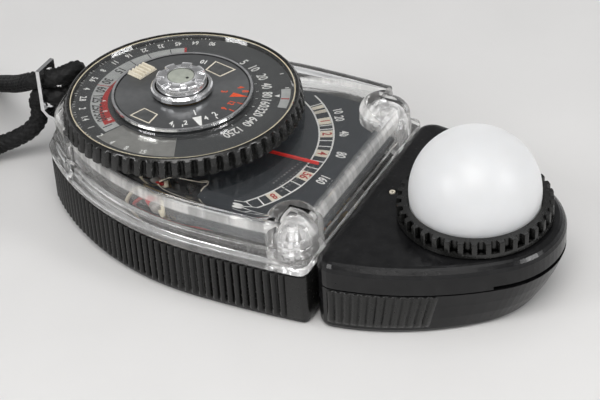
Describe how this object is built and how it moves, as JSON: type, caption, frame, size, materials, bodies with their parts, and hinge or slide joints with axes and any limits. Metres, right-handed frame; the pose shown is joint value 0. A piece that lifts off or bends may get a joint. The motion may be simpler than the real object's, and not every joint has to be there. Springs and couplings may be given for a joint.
{
  "type": "handheld light meter",
  "caption": "Palm-sized analogue light meter: ribbed case with a clear window over a needle and scale, calculator dial with release button, swivelling head with opal dome, neck cord.",
  "frame": {"origin": "on the rest plane of the flat back, under the middle of the meter measured from lug to head tip and without its neck cord", "axes": "+X from the strap lug along the meter to the head tip, +Y across the case, +Z out of the back towards the dial"},
  "size_m": [0.1931, 0.0648, 0.0344],
  "materials": {
    "black_plastic": "moulded, semi gloss",
    "clear_plastic": "clear moulded window",
    "scale_paint": "dark printed sheet",
    "chrome": "bright plated",
    "steel": "turned",
    "brass": "turned and pressed",
    "copper": "wound or pressed copper",
    "opal_plastic": "translucent white",
    "red_paint": "red lacquer",
    "braid": "woven black cord",
    "inlay_paint": "dull grey green"
  },
  "bodies": {
    "case": {"case_base": "black_plastic", "rear_plate": "scale_paint", "clear_cover": "clear_plastic", "cover_screw_near": "steel", "cover_screw_far": "steel", "rear_screw_near": "steel", "rear_screw_far": "steel", "boss_insert_near": "chrome", "boss_insert_far": "chrome", "scale_plate": "scale_paint", "strap_lug": "chrome", "field_magnet": "black_plastic", "magnet_core": "steel", "lower_bridge": "brass", "upper_bridge": "brass", "bridge_pillar_near": "brass", "bridge_pillar_far": "brass", "lower_jewel_screw": "brass", "upper_jewel_screw": "brass", "calibration_resistor": "red_paint", "slip_contact_inner": "copper", "slip_contact_outer": "copper", "dial_bush": "brass", "dial_bush_collar": "brass", "base_scale_disc": "scale_paint", "strap_cord": "braid", "strap_coil": "braid", "strap_tie": "black_plastic"},
    "head": {"head_lower": "black_plastic", "head_upper": "black_plastic", "head_screw_near": "steel", "head_screw_far": "steel", "index_dot": "opal_plastic", "swivel_spindle": "brass", "swivel_retainer": "steel", "swivel_nut": "steel", "cell_contact_ring": "brass", "photocell": "scale_paint", "cell_retainer": "steel"},
    "diffuser_seat": {"diffuser_spring_ring": "steel"},
    "diffuser": {"diffuser_ring": "black_plastic", "diffuser_dome": "opal_plastic"},
    "movement": {"moving_coil": "copper", "coil_pivot_lower": "steel", "coil_pivot_upper": "steel", "needle": "red_paint", "hairspring": "brass"},
    "dial": {"dial_ring": "black_plastic", "dial_disc": "clear_plastic"},
    "film_speed": {"speed_disc": "scale_paint", "speed_disc_rim": "chrome", "speed_disc_grip": "opal_plastic"},
    "lock": {"lock_collar": "chrome", "button_spring": "steel"},
    "button": {"release_button": "chrome", "button_inlay": "inlay_paint"},
    "zero": {"zero_adjuster": "brass"}
  },
  "joints": [
    {"name": "head_swivel", "type": "hinge", "parent": "case", "child": "head", "pos_m": [0.0174, 0, 0.008], "axis": [1, 0, 0], "range_deg": [-90, 180]},
    {"name": "dial_ring_turn", "type": "hinge", "parent": "case", "child": "dial", "pos_m": [-0.0243, 0, 0.0255], "axis": [0, 0, 1], "continuous": true},
    {"name": "film_speed_turn", "type": "hinge", "parent": "dial", "child": "film_speed", "pos_m": [-0.0243, 0, 0.028], "axis": [0, 0, 1], "range_deg": [-150, 150]},
    {"name": "lock_collar_turn", "type": "hinge", "parent": "case", "child": "lock", "pos_m": [-0.0243, 0, 0.0289], "axis": [0, 0, 1], "range_deg": [0, 60]},
    {"name": "button_press", "type": "slide", "parent": "lock", "child": "button", "axis": [0, 0, -1], "range_m": [0, 0.0012], "stiffness_N_per_m": 300, "springref_m": -0.0015, "deforming": ["button_spring"]},
    {"name": "needle_swing", "type": "hinge", "parent": "case", "child": "movement", "pos_m": [-0.0243, 0, 0.0176], "axis": [0, 0, 1], "range_deg": [-42, 38], "stiffness_Nm_per_rad": 0.00001},
    {"name": "zero_adjust_turn", "type": "hinge", "parent": "case", "child": "zero", "pos_m": [-0.0243, 0, 0.0005], "axis": [0, 0, 1], "range_deg": [-30, 30]},
    {"name": "diffuser_lift", "type": "slide", "parent": "head", "child": "diffuser_seat", "axis": [0, 0, 1], "range_m": [0, 0.02]},
    {"name": "diffuser_twist", "type": "hinge", "parent": "diffuser_seat", "child": "diffuser", "pos_m": [0.0408, 0, 0.0176], "axis": [0, 0, 1], "range_deg": [0, 45]}
  ]
}
